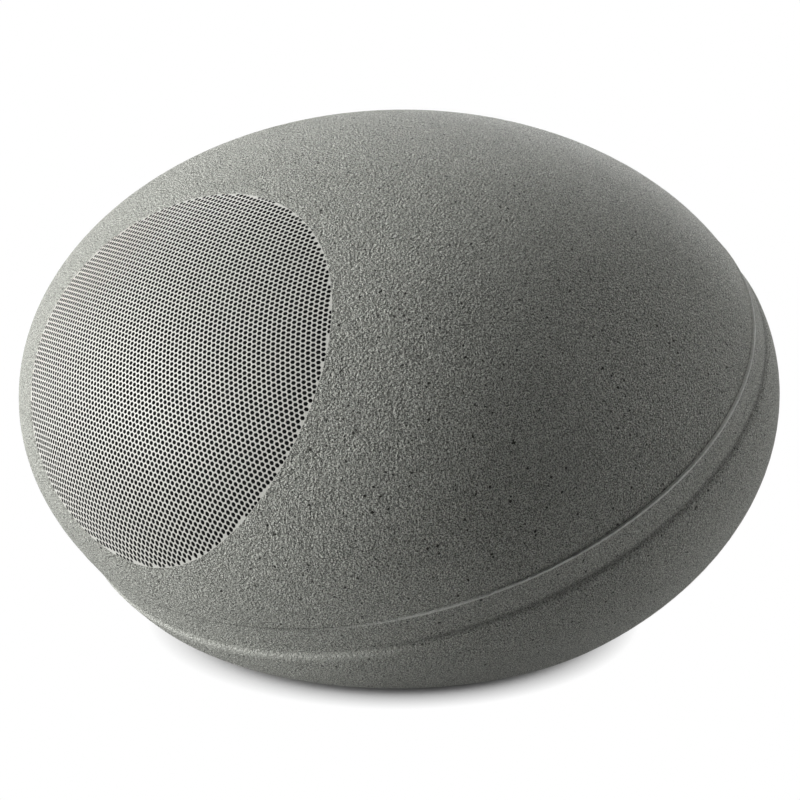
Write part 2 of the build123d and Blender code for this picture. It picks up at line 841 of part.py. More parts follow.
def main():
    parts = {
        "upper_shell": make_upper_shell(),
        "lower_shell": make_lower_shell(),
        "seam_gasket": seal_groove(glue_gap),
        "foot_ring": foot_groove(glue_gap, 0),
        "grille": make_grille(),
        "grille_cloth": make_grille_cloth(),
    }
    driver = {
        "driver_gasket": make_driver_gasket(),
        "driver_frame": make_driver_frame(),
        "driver_screws": make_driver_screws(),
        "surround": make_surround(),
        "cone": make_cone(),
        "spider": make_spider(),
        "voice_coil_former": make_voice_coil_former(),
        "voice_coil": make_voice_coil(),
        "top_plate": make_top_plate(),
        "magnet": make_magnet(),
        "yoke": make_yoke(),
        "tweeter_stem": make_tweeter_stem(),
        "tweeter_cup": make_tweeter_cup(),
        "tweeter_magnet": make_tweeter_magnet(),
        "tweeter_pole_plate": make_tweeter_pole_plate(),
        "tweeter_dome": make_tweeter_dome(),
        "tweeter_coil": make_tweeter_coil(),
        "tweeter_surround": make_tweeter_surround(),
        "tweeter_face": make_tweeter_face(),
        "driver_terminals": make_driver_terminals(),
    }
    gland = {
        "gland_washer": make_gland_washer(),
        "gland_body": make_gland_body(),
        "gland_seal": make_gland_seal(),
        "gland_nut": make_gland_nut(),
        "gland_locknut": make_gland_locknut(),
    }
    for name, shape in driver.items():
        parts[name] = driver_at * shape
    for name, shape in gland.items():
        parts[name] = gland_at * shape
    parts["crossover_board"] = make_crossover_board()
    parts["board_screws"] = make_board_screws()
    parts["inductor_bobbins"] = make_inductor_bobbins()
    parts["inductor_windings"] = make_inductor_windings()
    parts["capacitors"] = make_capacitors()
    parts["resistor"] = make_resistor()
    parts["terminal_block"] = make_terminal_block()
    parts["woofer_leads"] = make_woofer_leads()
    parts["tweeter_leads"] = make_tweeter_leads()
    parts["damping_pad"] = make_damping_pad()
    os.makedirs("parts", exist_ok=True)
    for name, shape in parts.items():
        export_step(shape, f"parts/{name}.step")
        print(name, len(shape.solids()), round(shape.volume), shape.is_valid)


main()
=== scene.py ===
# %% [markdown]
# # A garden loudspeaker shaped like a pebble
# The solid model comes first and is only dressed here. Blender loads it as a fixed frame, in metres,
# with +Z up and the speaker facing -Y. Nothing in the frame is moved: each cell adds a finish, a finer
# mesh for a piece whose look needs one, or the small studio around it.

# %% Load the frame
import math

import bmesh
import bpy
import numpy as np
from mathutils import Matrix, Vector


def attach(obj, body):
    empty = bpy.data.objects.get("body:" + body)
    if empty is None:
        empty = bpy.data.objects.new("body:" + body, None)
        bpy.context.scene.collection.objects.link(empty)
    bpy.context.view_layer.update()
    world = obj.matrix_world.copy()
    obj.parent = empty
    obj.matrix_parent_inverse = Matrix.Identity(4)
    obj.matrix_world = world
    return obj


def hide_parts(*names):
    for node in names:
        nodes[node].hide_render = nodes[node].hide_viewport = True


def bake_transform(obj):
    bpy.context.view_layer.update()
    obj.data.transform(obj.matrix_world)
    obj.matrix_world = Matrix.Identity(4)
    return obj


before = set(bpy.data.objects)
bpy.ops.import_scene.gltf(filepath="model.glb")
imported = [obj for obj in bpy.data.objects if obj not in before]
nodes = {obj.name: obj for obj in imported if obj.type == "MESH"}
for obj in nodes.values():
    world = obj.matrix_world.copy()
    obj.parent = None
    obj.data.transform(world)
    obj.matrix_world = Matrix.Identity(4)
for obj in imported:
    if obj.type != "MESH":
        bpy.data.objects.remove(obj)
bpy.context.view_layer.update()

# %% [markdown]
# ## The flattened ball
# The upper shell is a flattened ball that leans forwards, and the grille follows its curve. The finer meshes
# below are worked out from it, so its few sizes are written once here, in metres. A ball maps its own surface
# to the unit sphere, which turns each cut of the surface into a short formula.

# %% Sizes and balls
MM = 0.001
SHELL_RADIUS = 200 * MM
SHELL_HALF_HEIGHT = 141.4 * MM
SHELL_LEAN = math.radians(2.8)
SHELL_MIDDLE = np.array((0, -4.465, 129.470)) * MM
OPENING_RADIUS = 96.6 * MM
OPENING_TILT = math.radians(31.7)
SEAT_MIDDLE = np.array((0, -135.801, 157.577)) * MM

ACROSS = np.array((1.0, 0, 0))
DRIVER_OUT = np.array((0, -math.cos(OPENING_TILT), math.sin(OPENING_TILT)))
DRIVER_UP = np.array((0, math.sin(OPENING_TILT), math.cos(OPENING_TILT)))


class Ball:
    """A flattened ball that leans forwards."""

    def __init__(self, middle, radius, half_height, lean):
        self.middle = middle
        self.sizes = np.array((radius, radius, half_height))
        out = (0, math.cos(lean), math.sin(lean))
        top = (0, -math.sin(lean), math.cos(lean))
        self.axes = np.array(((1, 0, 0), out, top))

    def unit(self, vectors):
        """Vectors in the space where this ball is a unit sphere."""
        return vectors @ self.axes.T / self.sizes

    def leave(self, start, way):
        """How far rays from inside run before they leave the ball."""
        o = self.unit(start - self.middle)
        d = self.unit(way)
        dd = (d * d).sum(-1)
        od = (o * d).sum(-1)
        return (np.sqrt(od**2 - dd * ((o * o).sum(-1) - 1)) - od) / dd


def shell_ball(inset):
    return Ball(SHELL_MIDDLE, SHELL_RADIUS - inset, SHELL_HALF_HEIGHT - inset, SHELL_LEAN)


def driver_point(across, up, out):
    """Points from places across, up and out along the driver's axis."""
    sideways = np.multiply.outer(across, ACROSS)
    upwards = np.multiply.outer(up, DRIVER_UP)
    return SEAT_MIDDLE + sideways + upwards + np.multiply.outer(out, DRIVER_OUT)


def dome_out(ball, across, up):
    """How far out along the driver's axis a ball's skin lies."""
    start = driver_point(across, up, np.zeros_like(across))
    return ball.leave(start, DRIVER_OUT)


middle_out = dome_out(shell_ball(0), np.zeros(1), np.zeros(1))[0]
print("the shell stands", round(middle_out / MM, 2), "mm proud of the driver's seat")

# %% [markdown]
# ## Camera
# The view is from the front right and a little above, through a long lens, so that the far side of the pebble
# isn't drawn small. The camera's axes are written as its matrix, because a look-at constraint would move with
# the object's box.

# %% Camera
VIEW_AZIMUTH = math.radians(43.49)
VIEW_ELEVATION = math.radians(18.02)
VIEW_DISTANCE = 1.6477
VIEW_RIGHT = 2.54 * MM
VIEW_DOWN = 8.63 * MM
LENS = 138.76
SENSOR_WIDTH = 36


def direction(azimuth, elevation):
    """The way to a place around the speaker: azimuth 0 is in front, and a quarter turn on is to +X."""
    flat = math.cos(elevation)
    return Vector((math.sin(azimuth) * flat, -math.cos(azimuth) * flat, math.sin(elevation)))


view_back = direction(VIEW_AZIMUTH, VIEW_ELEVATION)
view_right = Vector((math.cos(VIEW_AZIMUTH), math.sin(VIEW_AZIMUTH), 0))
view_up = view_back.cross(view_right)
lens = bpy.data.cameras.new("studio_camera")
lens.lens = LENS
lens.sensor_width = SENSOR_WIDTH
camera = bpy.data.objects.new("studio_camera", lens)
aim = Vector(SHELL_MIDDLE) + view_right * VIEW_RIGHT - view_up * VIEW_DOWN
stand = aim + view_back * VIEW_DISTANCE
turn = Matrix((view_right, view_up, view_back)).transposed().to_4x4()
camera.matrix_world = Matrix.Translation(stand) @ turn
bpy.context.scene.collection.objects.link(camera)
bpy.context.scene.camera = camera
print("camera stands", round((stand - Vector(SHELL_MIDDLE)).length, 3), "m away")

# %% [markdown]
# ## Shader maths as Python
# A material is a graph of nodes. Writing it node by node hides the idea, so a small class wraps a socket:
# adding or multiplying two of them adds the Math node. Every other node comes from one method that takes
# the node's type, its settings and its inputs.


# %% Socket and finish
class Sock:
    """An output socket that takes part in Python arithmetic."""

    def __init__(self, finish, socket):
        self.finish = finish
        self.socket = socket

    def math(self, operation, first, second):
        return self.finish.node("Math", {"operation": operation}, {0: first, 1: second})

    def __add__(self, other):
        return self.math("ADD", self, other)

    def __radd__(self, other):
        return self.math("ADD", other, self)

    def __sub__(self, other):
        return self.math("SUBTRACT", self, other)

    def __rsub__(self, other):
        return self.math("SUBTRACT", other, self)

    def __mul__(self, other):
        return self.math("MULTIPLY", self, other)

    def __rmul__(self, other):
        return self.math("MULTIPLY", other, self)

    def __gt__(self, other):
        return self.math("GREATER_THAN", self, other)

    def __pow__(self, other):
        return self.math("POWER", self, other)

    def __abs__(self):
        return self.finish.node("Math", {"operation": "ABSOLUTE"}, {0: self})

    def other(self, out):
        """Another output of the node that this one belongs to."""
        return Sock(self.finish, self.socket.node.outputs[out])


class Finish:
    """A procedural material with one Principled shader."""

    def __init__(self, name):
        self.material = bpy.data.materials.new(name)
        self.material.use_nodes = True
        self.tree = self.material.node_tree
        self.shader = self.tree.nodes["Principled BSDF"]

    def node(self, kind, settings=None, inputs=None, out=0):
        """Any node: its type, its settings, and the values or links of its sockets."""
        made = self.tree.nodes.new("ShaderNode" + kind)
        for name, value in (settings or {}).items():
            if name == "stops":
                set_stops(made.color_ramp, value)
            else:
                setattr(made, name, value)
        for name, value in (inputs or {}).items():
            self.feed(made.inputs[name], value)
        return Sock(self, made.outputs[out])

    def feed(self, socket, value):
        if isinstance(value, Sock):
            self.tree.links.new(value.socket, socket)
        else:
            socket.default_value = value

    def surface(self, **values):
        """Sets the shader's sockets: base_color=..., roughness=..., normal=..."""
        for name, value in values.items():
            label = name.replace("_", " ").title().replace("Ior", "IOR")
            self.feed(self.shader.inputs[label], value)
        return self.material

    def place(self):
        """Position in the object's own frame, in metres."""
        return self.node("TexCoord", out="Object")

    def noise(self, scale, detail=2.0):
        return self.node("TexNoise", {}, {"Vector": self.place(), "Scale": scale, "Detail": detail})

    def ramp(self, factor, stops):
        return self.node("ValToRGB", {"stops": stops}, {"Fac": factor})

    def between(self, value, start, end, first=0.0, last=1.0, kind="LINEAR"):
        """The first level up to the start, the last from the end on, and a slope between them."""
        levels = {0: value, 1: start, 2: end, 3: first, 4: last}
        return self.node("MapRange", {"interpolation_type": kind}, levels)

    def mix(self, factor, first, second):
        return self.node("Mix", {"data_type": "RGBA"}, {0: factor, 6: first, 7: second}, out=2)

    def bump(self, height, distance, normal=None):
        """A relief of a height, over a normal if one is given."""
        inputs = {"Height": height, "Distance": distance}
        if normal:
            inputs["Normal"] = normal
        return self.node("Bump", {}, inputs)


def set_stops(ramp, stops):
    while len(ramp.elements) < len(stops):
        ramp.elements.new(0.5)
    for element, (position, level) in zip(ramp.elements, stops):
        element.position = position
        element.color = level if isinstance(level, tuple) else (level, level, level, 1)


print("shader helpers ready")

# %% [markdown]
# ## Stone shell
# The shells are moulded in a mineral-filled resin: a warm grey with a fine pebbled grain, a scatter of dark
# specks, and slow changes of tone. Noise in the object's own space gives all of it without any seam. The
# grain and a coarser noise are also a bump, so that light from the side picks out the pebbles.

# %% Stone finish
STONE = (0.43, 0.438, 0.398, 1)
STONE_PALE = (0.82, 0.832, 0.768, 1)
STONE_DARK = (0.115, 0.118, 0.105, 1)
STONE_GLOSS = 0.12
GRAIN_SCALE = 1700
PEBBLE_SCALE = 760
TONE_SCALE = 9
TONE_SHARE = 0.07
RELIEF = 1.2 * MM
PEBBLE_HEIGHT = 2
SPECK_DENT = 0.5
EDGE_SAMPLES = 6

SPECK = (0.05, 0.05, 0.044, 1)
SPECK_SCALE = 330
SPECK_REACH = 0.52
SPECK_LOSS = 0.27
STIR_SCALE = 800
STIR_REACH = 1.4 * MM


def stone_specks(stone):
    """1 on dark, ragged specks: the middles of some cells of a stirred Voronoi pattern."""
    stir = stone.noise(STIR_SCALE).other("Color")
    shift = {0: stir, 1: (STIR_REACH,) * 3, 2: stone.place()}
    ragged = stone.node("VectorMath", {"operation": "MULTIPLY_ADD"}, shift)
    distance = stone.node("TexVoronoi", {}, {"Vector": ragged, "Scale": SPECK_SCALE})
    pick = stone.node("SeparateColor", {}, {"Color": distance.other("Color")})
    return (SPECK_REACH * pick - SPECK_LOSS) > distance


def stone_finish(name, edge_radius):
    """The speckled stone with its edges rounded to a radius, and the colour that its shader wears."""
    stone = Finish(name)
    grain = stone.noise(GRAIN_SCALE, detail=1)
    tone = stone.ramp(stone.noise(TONE_SCALE, detail=3), [(0.35, STONE_DARK), (0.65, STONE_PALE)])
    body = stone.ramp(grain, [(0.36, STONE_DARK), (0.5, STONE), (0.64, STONE_PALE)])
    specks = stone_specks(stone)
    colour = stone.mix(specks, stone.mix(TONE_SHARE, body, tone), SPECK)
    soft = stone.node("Bevel", {"samples": EDGE_SAMPLES}, {"Radius": edge_radius}) if edge_radius else None
    pebbles = stone.noise(PEBBLE_SCALE, detail=1)
    relief = stone.bump(grain + PEBBLE_HEIGHT * pebbles - SPECK_DENT * specks, RELIEF, soft)
    rough = stone.ramp(grain, [(0.3, 0.66), (0.7, 0.5)])
    stone.surface(roughness=rough, normal=relief, specular_ior_level=STONE_GLOSS)
    return stone, colour


plain_stone, plain_colour = stone_finish("stone_shell", edge_radius=0)
plain_stone.surface(base_color=plain_colour)
print("stone: grain of", round(1 / GRAIN_SCALE / MM, 2), "mm")

# %% [markdown]
# ## Band with painted light and shade
# The lower shell has a band under the seam. Its lip at both sides and its shoulder at front and back are
# painted paler, as painted highlights. The joint at front and back and, at the sides, the valley between band
# and bowl are painted darker, as painted shade. All of them run parallel to the seam, so one number places
# them: the height along the seam's normal.

# %% Band finish
SEAM_TILT = math.radians(25.4)
SEAM_NORMAL = (0, -math.sin(SEAM_TILT), math.cos(SEAM_TILT))
SEAM_HEIGHT = 1.8 * MM
SEAM_RISE = float(SHELL_MIDDLE @ SEAM_NORMAL) + SEAM_HEIGHT
EDGE_RADIUS = 1.2 * MM
SIDE_FROM = 80 * MM
SIDE_FULL = 140 * MM

# The lip's pale colour is a painted highlight on the ledge, where light from above falls on it.
LIP_HIGHLIGHT = (0.95, 0.96, 0.91, 1)
LIP_WIDTH = 1.9 * MM
LIP_FULL = 0.8 * LIP_WIDTH
# The shoulder's paler colour is a painted highlight.
SHOULDER_DROP = 25.9 * MM
SHOULDER_WIDTH = 6 * MM
SHOULDER_HIGHLIGHT_SHARE = 0.65

# A darker colour painted in as shade: in the joint under the upper shell's overhang and in the valley.
CREASE_SHADE = (0.12, 0.122, 0.11, 1)
CREASE_SHADE_SHARE = 0.5
VALLEY_DROP = 22.4 * MM
VALLEY_WIDTH = 3.5 * MM


def along_seam(stone, rise, drop, full, width):
    """1 near a line at a drop below the seam, falling to 0 at a width on either side."""
    away = abs(rise - (SEAM_RISE - drop))
    return stone.between(away, full, width, 1.0, 0.0, "SMOOTHSTEP")


def band_finish():
    stone, colour = stone_finish("stone_band", edge_radius=EDGE_RADIUS)
    along = {0: stone.place(), 1: SEAM_NORMAL}
    rise = stone.node("VectorMath", {"operation": "DOT_PRODUCT"}, along, out="Value")
    across = stone.node("SeparateXYZ", {}, {0: stone.place()})
    side = stone.between(abs(across), SIDE_FROM, SIDE_FULL, kind="SMOOTHSTEP")
    lip_highlight = along_seam(stone, rise, 0, LIP_FULL, LIP_WIDTH)
    # Painted highlight: the lip's ledge at both sides is painted paler.
    colour = stone.mix(lip_highlight * side, colour, LIP_HIGHLIGHT)
    joint_shade = along_seam(stone, rise, 0, 0, LIP_WIDTH)
    # Painted shade: the joint at front and back is painted darker, under the upper shell's overhang.
    colour = stone.mix(CREASE_SHADE_SHARE * joint_shade * (1 - side), colour, CREASE_SHADE)
    valley_shade = along_seam(stone, rise, VALLEY_DROP, 0, VALLEY_WIDTH)
    # Painted shade: the valley between band and bowl is painted darker at the sides.
    colour = stone.mix(CREASE_SHADE_SHARE * valley_shade * side, colour, CREASE_SHADE)
    shoulder_highlight = along_seam(stone, rise, SHOULDER_DROP, 0, SHOULDER_WIDTH)
    # Painted highlight: the shoulder at front and back is painted paler, in the stone's pale tone.
    colour = stone.mix(SHOULDER_HIGHLIGHT_SHARE * shoulder_highlight * (1 - side), colour, STONE_PALE)
    return stone.surface(base_color=colour)


band_stone = band_finish()
print("band: a lip, a joint, a valley and a shoulder")

# %% [markdown]
# ## Finishes of the other pieces
# Most of them are seen only when the speaker is taken apart. Each still has the grain of its own material:
# a powder coat, woven cloth, cast metal, plated steel, wound wire, a fibre cone. A table holds what differs
# between them, and one function for each kind of surface makes the nodes.

# %% Other finishes
GRILLE_COAT = ((0.58, 0.58, 0.54, 1), (0.69, 0.69, 0.645, 1))
COAT_SCALE = 900
# Near-black paint down the holes is painted shade on the holes' walls.
GRILLE_HOLE_SHADE = (0.012, 0.012, 0.011, 1)
HOLE_SHADE_DEPTH = 0.4
ROUGH_SPREAD = 0.08


def grey(level):
    return (level, level, level)


def speckled(name, dark, pale, scale, roughness, depth, metallic=0.0):
    """A finish whose tone, gloss and relief follow one noise."""
    finish = Finish(name)
    grain = finish.noise(scale, detail=3)
    colour = finish.ramp(grain, [(0.3, (*dark, 1)), (0.7, (*pale, 1))])
    rough = finish.ramp(grain, [(0.3, roughness + ROUGH_SPREAD), (0.7, roughness - ROUGH_SPREAD)])
    relief = finish.bump(grain, depth)
    return finish.surface(base_color=colour, roughness=rough, normal=relief, metallic=metallic)


def waves(finish, axis, pitch):
    """Parallel bands that follow each other along an axis."""
    return finish.node("TexWave", {"bands_direction": axis}, {"Vector": finish.place(), "Scale": 1 / pitch})


def woven(name, dark, pale, pitch):
    """A plain weave: two sets of bands that pass over each other."""
    finish = Finish(name)
    weave = waves(finish, "X", pitch) * waves(finish, "Z", pitch)
    colour = finish.ramp(weave, [(0.1, (*dark, 1)), (0.9, (*pale, 1))])
    return finish.surface(base_color=colour, roughness=0.9, normal=finish.bump(weave, 0.2 * MM))


def wound(name, dark, pale, pitch):
    """Enamelled wire laid in turns."""
    finish = Finish(name)
    turns = waves(finish, "Z", pitch)
    colour = finish.ramp(turns, [(0.1, (*dark, 1)), (0.7, (*pale, 1))])
    relief = finish.bump(turns, 0.3 * MM)
    return finish.surface(base_color=colour, roughness=0.32, normal=relief, metallic=0.85)


def grille_finish():
    """A pale powder coat on the sheet's face, with painted shade down the holes: their walls are near black.
    """
    finish = Finish("grille_paint")
    grain = finish.noise(COAT_SCALE, detail=3)
    coat = finish.ramp(grain, [(0.3, GRILLE_COAT[0]), (0.7, GRILLE_COAT[1])])
    depth = finish.node("Attribute", {"attribute_name": "depth"}, out="Fac")
    # Painted shade: the coat turns near black down the holes.
    colour = finish.mix(finish.between(depth, 0.0, HOLE_SHADE_DEPTH), coat, GRILLE_HOLE_SHADE)
    return finish.surface(base_color=colour, roughness=0.5, normal=finish.bump(grain, 0.1 * MM))


# Dark and pale tone, scale of the grain, roughness, depth of the relief and, for a metal, how metallic it is
SPECKLED = {
    "black_rubber": (grey(0.012), grey(0.03), 700, 0.7, 0.1 * MM),
    "cast_alloy": (grey(0.03), grey(0.07), 500, 0.55, 0.2 * MM, 0.4),
    "plated_steel": ((0.42, 0.42, 0.43), (0.56, 0.56, 0.55), 300, 0.3, 0.05 * MM, 1.0),
    "magnet_grey": ((0.05, 0.05, 0.055), (0.10, 0.10, 0.11), 420, 0.6, 0.2 * MM),
    "former_film": ((0.24, 0.12, 0.04), (0.36, 0.20, 0.08), 60, 0.25, 0.02 * MM),
    "dome_alloy": ((0.55, 0.55, 0.57), (0.66, 0.66, 0.68), 800, 0.28, 0.02 * MM, 1.0),
    "black_plastic": (grey(0.022), grey(0.04), 900, 0.5, 0.1 * MM),
    "board_green": ((0.02, 0.10, 0.045), (0.04, 0.16, 0.07), 160, 0.35, 0.03 * MM),
    "capacitor_film": ((0.38, 0.27, 0.04), (0.5, 0.38, 0.09), 40, 0.3, 0.03 * MM),
    "ceramic": ((0.6, 0.58, 0.52), (0.76, 0.74, 0.68), 500, 0.8, 0.2 * MM),
    "terminal_plastic": ((0.015, 0.10, 0.22), (0.03, 0.14, 0.3), 600, 0.4, 0.05 * MM),
    "lug_brass": ((0.5, 0.42, 0.22), (0.68, 0.58, 0.34), 300, 0.3, 0.03 * MM, 1.0),
    "lead_sleeve": ((0.03, 0.025, 0.025), (0.07, 0.05, 0.05), 300, 0.5, 0.05 * MM),
    "fibre_pad": ((0.48, 0.48, 0.45), (0.72, 0.72, 0.69), 350, 0.95, 2 * MM),
}
finishes = {name: speckled(name, *look) for name, look in SPECKLED.items()}
finishes["stone_shell"] = plain_stone.material
finishes["grille_paint"] = grille_finish()
finishes["black_cloth"] = woven("black_cloth", grey(0.004), grey(0.012), 0.9 * MM)
finishes["cone_fibre"] = woven("cone_fibre", (0.02, 0.02, 0.022), (0.08, 0.08, 0.085), 2.4 * MM)
finishes["copper"] = wound("copper", (0.22, 0.08, 0.04), (0.62, 0.30, 0.16), 1.6 * MM)
print("finishes:", len(finishes))

# %% [markdown]
# ## Who wears which finish
# A carried-over piece keeps its shape and gets one of the finishes above, in the slot that the solid model
# already has. The lower shell wears the stone with the band's painted highlights and painted shade.

# %% Dress the frame
wearers = {
    "stone_shell": ["upper_shell", "lower_shell"],
    "grille_paint": ["grille"],
    "black_rubber": [
        "seam_gasket", "foot_ring", "driver_gasket", "surround", "tweeter_surround",
        "gland_washer", "gland_seal",
    ],
    "black_cloth": ["grille_cloth", "spider"],
    "cast_alloy": ["driver_frame", "tweeter_stem"],
    "plated_steel": [
        "driver_screws", "board_screws", "top_plate", "yoke", "tweeter_cup", "tweeter_pole_plate",
    ],
    "magnet_grey": ["magnet", "tweeter_magnet"],
    "cone_fibre": ["cone"],
    "former_film": ["voice_coil_former"],
    "copper": ["voice_coil", "tweeter_coil", "inductor_windings"],
    "dome_alloy": ["tweeter_dome"],
    "black_plastic": ["tweeter_face", "gland_body", "gland_nut", "gland_locknut", "inductor_bobbins"],
    "board_green": ["crossover_board"],
    "capacitor_film": ["capacitors"],
    "ceramic": ["resistor"],
    "terminal_plastic": ["terminal_block"],
    "lug_brass": ["driver_terminals"],
    "lead_sleeve": ["woofer_leads", "tweeter_leads"],
    "fibre_pad": ["damping_pad"],
}
for slot, names in wearers.items():
    for name in names:
        nodes[name].data.materials.clear()
        nodes[name].data.materials.append(finishes[slot])
nodes["lower_shell"].data.materials[0] = band_stone
dressed = sum(len(names) for names in wearers.values())
print("dressed", dressed, "of", len(nodes), "nodes")

# %% [markdown]
# ## Cloth and padding
# Two carried-over pieces are soft. The grille cloth keeps insects and splashes out: a round cut of thin black
# cloth, stretched over the dome behind the grille. The damping pad is loose fibre on the inside of the rear
# wall, which soaks up the sound from the back of the cone.

# %% [markdown]
# ## Honeycomb of holes
# The real grille is a steel sheet, punched with small round holes in a honeycomb pattern and then pressed
# into the ball's own curve. It is laid out flat here too: a lattice of six-sided cells, as seen along the
# driver's axis, with every cell that reaches into the round opening.

# %% Hole lattice
HOLE_PITCH = 2.64 * MM
LATTICE_TURN = math.radians(-3.2)
FIT_GAP = 0.06 * MM
TOUCH = 0.001 * MM
ROOT_THREE = math.sqrt(3)
# A cell's six corners as lattice places, in thirds of a step
CORNERS = ((1, 1), (-1, 2), (-2, 1), (-1, -1), (1, -2), (2, -1))
grille_radius = OPENING_RADIUS - FIT_GAP


def lattice(i, j):
    """Plan places of a honeycomb lattice."""
    x = HOLE_PITCH * (i + j / 2)
    y = HOLE_PITCH * j * ROOT_THREE / 2
    c = math.cos(LATTICE_TURN)
    s = math.sin(LATTICE_TURN)
    return np.stack((c * x - s * y, s * x + c * y), -1)


def grille_cells():
    """Every cell with a corner inside the rim: its place, its corners' places in thirds, and its corners."""
    reach = int(grille_radius / HOLE_PITCH * 2 / ROOT_THREE) + 3
    cells = []
    for i in range(-reach, reach + 1):
        for j in range(-reach, reach + 1):
            keys = [(3 * i + a, 3 * j + b) for a, b in CORNERS]
            corners = np.array([lattice(a / 3, b / 3) for a, b in keys])
            if np.linalg.norm(corners, axis=1).min() < grille_radius - TOUCH:
                cells.append(((i, j), keys, corners))
    return cells


cells = grille_cells()
print("lattice:", len(cells), "cells")

# %% [markdown]
# ## Sheet and skirt
# Each cell with a whole middle gets a six-sided hole. The face and the back of the sheet are the same plan,
# lifted onto two balls, and the holes' walls join them, so the holes are true openings; their walls are
# painted near black, as painted shade. A drawn skirt under the rim stands on the driver's seat.

# %% Sheet and skirt
HOLE_RADIUS = 1.12 * MM
RIM_WIDTH = 0.2 * MM
GRILLE_INSET = 0.15 * MM
SHEET_THICKNESS = 0.6 * MM
SKIRT_SIDES = 192


def clamp_radius(points, limit):
    """Pulls plan points that lie outside a circle back onto it."""
    size = np.maximum(np.linalg.norm(points, axis=-1, keepdims=True), TOUCH)
    return points * np.minimum(1, limit / size)


def open_edges(polygons, inner):
    """Edges that only one polygon has, in that polygon's direction, apart from the holes' edges."""
    seen = set()
    for polygon in polygons:
        seen.update(zip(polygon, polygon[1:] + polygon[:1]))
    return [(a, b) for a, b in seen if (b, a) not in seen and (b, a) not in inner]


def grille_mesh():
    """The sheet's points, those of its face first, its faces, and how many holes it has."""
    plan = []
    number = {}

    def vertex(key, point):
        if key not in number:
            number[key] = len(plan)
            plan.append(point)
        return number[key]

    upper = []
    walls = []
    for cell, keys, corners in cells:
        middle = lattice(*cell)
        rim = [vertex(k, p) for k, p in zip(keys, clamp_radius(corners, grille_radius))]
        if np.linalg.norm(middle) > grille_radius - RIM_WIDTH:
            upper.append(rim)
            continue
        arms = corners - middle
        hole = middle + arms * (HOLE_RADIUS / np.linalg.norm(arms[0]))
        hole = clamp_radius(hole, grille_radius - RIM_WIDTH)
        inner = [vertex((cell, k), p) for k, p in enumerate(hole)]
        for k in range(6):
            m = (k + 1) % 6
            upper.append([rim[k], rim[m], inner[m], inner[k]])
            walls.append((inner[k], inner[m]))
    count = len(plan)
    faces = list(upper)
    faces.extend([v + count for v in reversed(face)] for face in upper)
    faces.extend([a, b, b + count, a + count] for a, b in walls)
    faces.extend([b, a, a + count, b + count] for a, b in open_edges(upper, set(walls)))
    across, up = np.array(plan).T
    insets = (GRILLE_INSET, GRILLE_INSET + SHEET_THICKNESS)
    skins = [driver_point(across, up, dome_out(shell_ball(inset), across, up)) for inset in insets]
    return np.concatenate(skins), faces, len(walls) // 6


def ring_faces(rows, steps, sides):
    """Four-sided faces between neighbouring rows of points, and from the last row back to the first."""
    faces = []
    for row in range(rows):
        a = row * steps
        b = (row + 1) % rows * steps
        faces.extend([a + k, a + (k + 1) % steps, b + (k + 1) % steps, b + k] for k in range(sides))
    return faces


def skirt_mesh():
    """The drawn skirt under the sheet: a closed ring from the seat up into the sheet."""
    turn = np.arange(SKIRT_SIDES) * (2 * math.pi / SKIRT_SIDES)
    inner = grille_radius - SHEET_THICKNESS
    under = shell_ball(GRILLE_INSET + SHEET_THICKNESS / 2)
    rings = []
    for radius, tall in ((grille_radius, False), (grille_radius, True), (inner, True), (inner, False)):
        x = radius * np.cos(turn)
        y = radius * np.sin(turn)
        out = dome_out(under, x, y) if tall else np.full(SKIRT_SIDES, FIT_GAP)
        rings.append(driver_point(x, y, out))
    return np.concatenate(rings), ring_faces(len(rings), SKIRT_SIDES, SKIRT_SIDES)


sheet_points, sheet_faces, holes = grille_mesh()
skirt_points, skirt_faces = skirt_mesh()
print("sheet:", holes, "holes,", len(sheet_points) + len(skirt_points), "points with the skirt")

# %% [markdown]
# ## From points to a piece
# One function turns points and faces into an object: it faces them outwards and dresses them.
# The grille then rides on the cabinet and takes the place of the plain one. A number on each of its points
# says whether it is on the face or down a hole, which the paint reads for the painted shade down the holes.

# %% Grille
SHARP_ANGLE = math.radians(40)


def new_piece(name, points, faces, finish, smooth=False):
    """A mesh object at the origin, wearing one finish."""
    mesh = bpy.data.meshes.new(name)
    mesh.from_pydata([tuple(p) for p in points], [], faces)
    mesh.validate()
    shape = bmesh.new()
    shape.from_mesh(mesh)
    bmesh.ops.recalc_face_normals(shape, faces=shape.faces)
    shape.to_mesh(mesh)
    shape.free()
    mesh.materials.append(finishes[finish])
    mesh.polygons.foreach_set("use_smooth", [smooth] * len(mesh.polygons))
    if smooth:
        mesh.set_sharp_from_angle(angle=SHARP_ANGLE)
    piece = bpy.data.objects.new(name, mesh)
    bpy.context.scene.collection.objects.link(piece)
    return piece


sheet_count = len(sheet_points)
points = np.concatenate((sheet_points, skirt_points))
faces = sheet_faces + [[v + sheet_count for v in face] for face in skirt_faces]
grille = new_piece("grille_sheet", points, faces, "grille_paint")
depth = np.ones(len(points))
depth[: sheet_count // 2] = 0
grille.data.attributes.new("depth", "FLOAT", "POINT").data.foreach_set("value", depth)
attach(grille, "cabinet")
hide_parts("grille")
triangles = sum(len(p.vertices) - 2 for p in grille.data.polygons)
print("grille:", triangles, "triangles")

# %% [markdown]
# ## Turned rings
# The driver is round, so its soft rings are outlines turned about the driver's axis, as on a lathe. A turn
# that stops short gets two ends, so that every piece is closed.

# %% Turned rings
FULL_TURN = 2 * math.pi
ROLL_SIDES = 120


